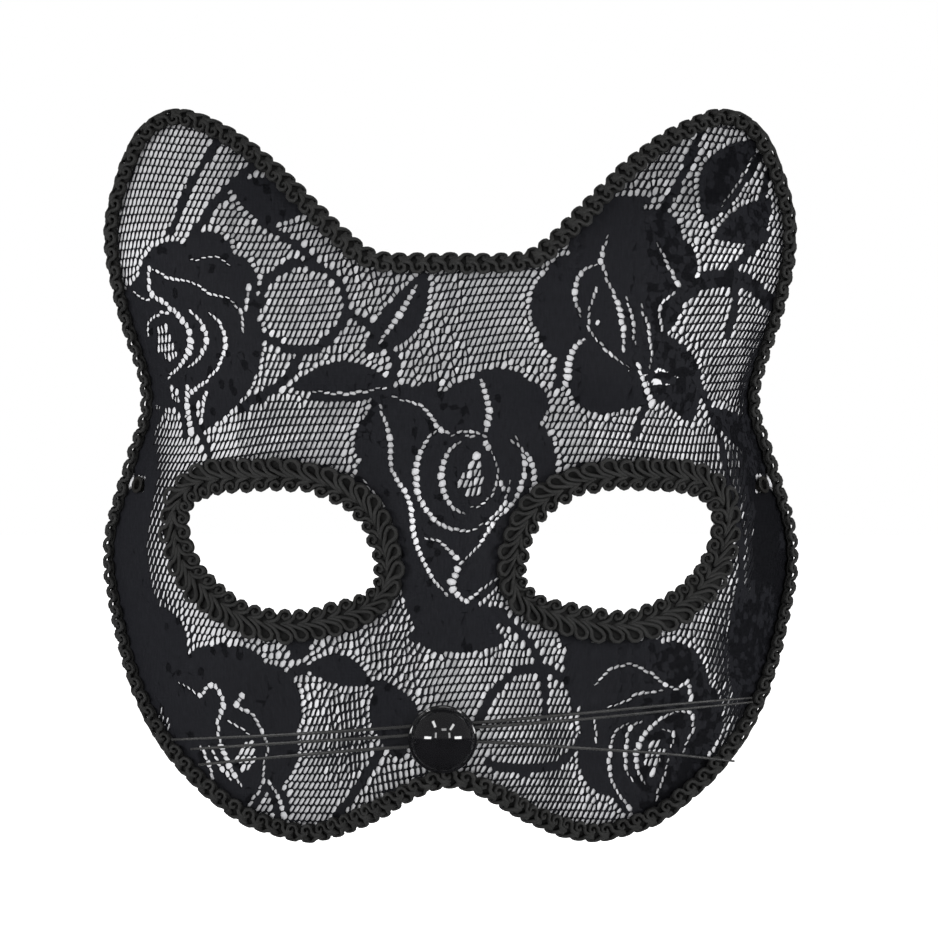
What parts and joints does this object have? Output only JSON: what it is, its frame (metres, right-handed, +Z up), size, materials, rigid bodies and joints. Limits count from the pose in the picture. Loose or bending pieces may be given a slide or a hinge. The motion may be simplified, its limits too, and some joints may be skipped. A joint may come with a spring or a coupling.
{
  "type": "cat half mask",
  "caption": "Cat-face half mask: formed plastic shell under black floral lace, braided edges, domed nose, nylon whiskers and temple eyelets for a tie.",
  "frame": {"origin": "inner face of the shell at the bridge, on the middle line, where the mask bears on the wearer", "axes": "+X to the mask's right as seen from the front, +Y from the front towards the wearer, +Z up"},
  "size_m": [0.1808, 0.0705, 0.1898],
  "materials": {
    "shell_plastic": "satin silver-grey formed plastic",
    "lace": "black floral net lace",
    "braid": "black rayon gimp braid",
    "nose_plastic": "polished black",
    "washer_plastic": "translucent white nylon",
    "whisker_nylon": "glossy nylon filament",
    "eyelet_metal": "black enamel"
  },
  "bodies": {
    "root": {"mask_shell": "shell_plastic", "lace_cover": "lace", "outer_braid": "braid", "eye_braid_left": "braid", "eye_braid_right": "braid", "nose_button": "nose_plastic", "nose_washer": "washer_plastic", "whisker_upper": "whisker_nylon", "whisker_middle": "whisker_nylon", "whisker_lower": "whisker_nylon", "strap_eyelet_left": "eyelet_metal", "strap_eyelet_right": "eyelet_metal"}
  },
  "joints": []
}
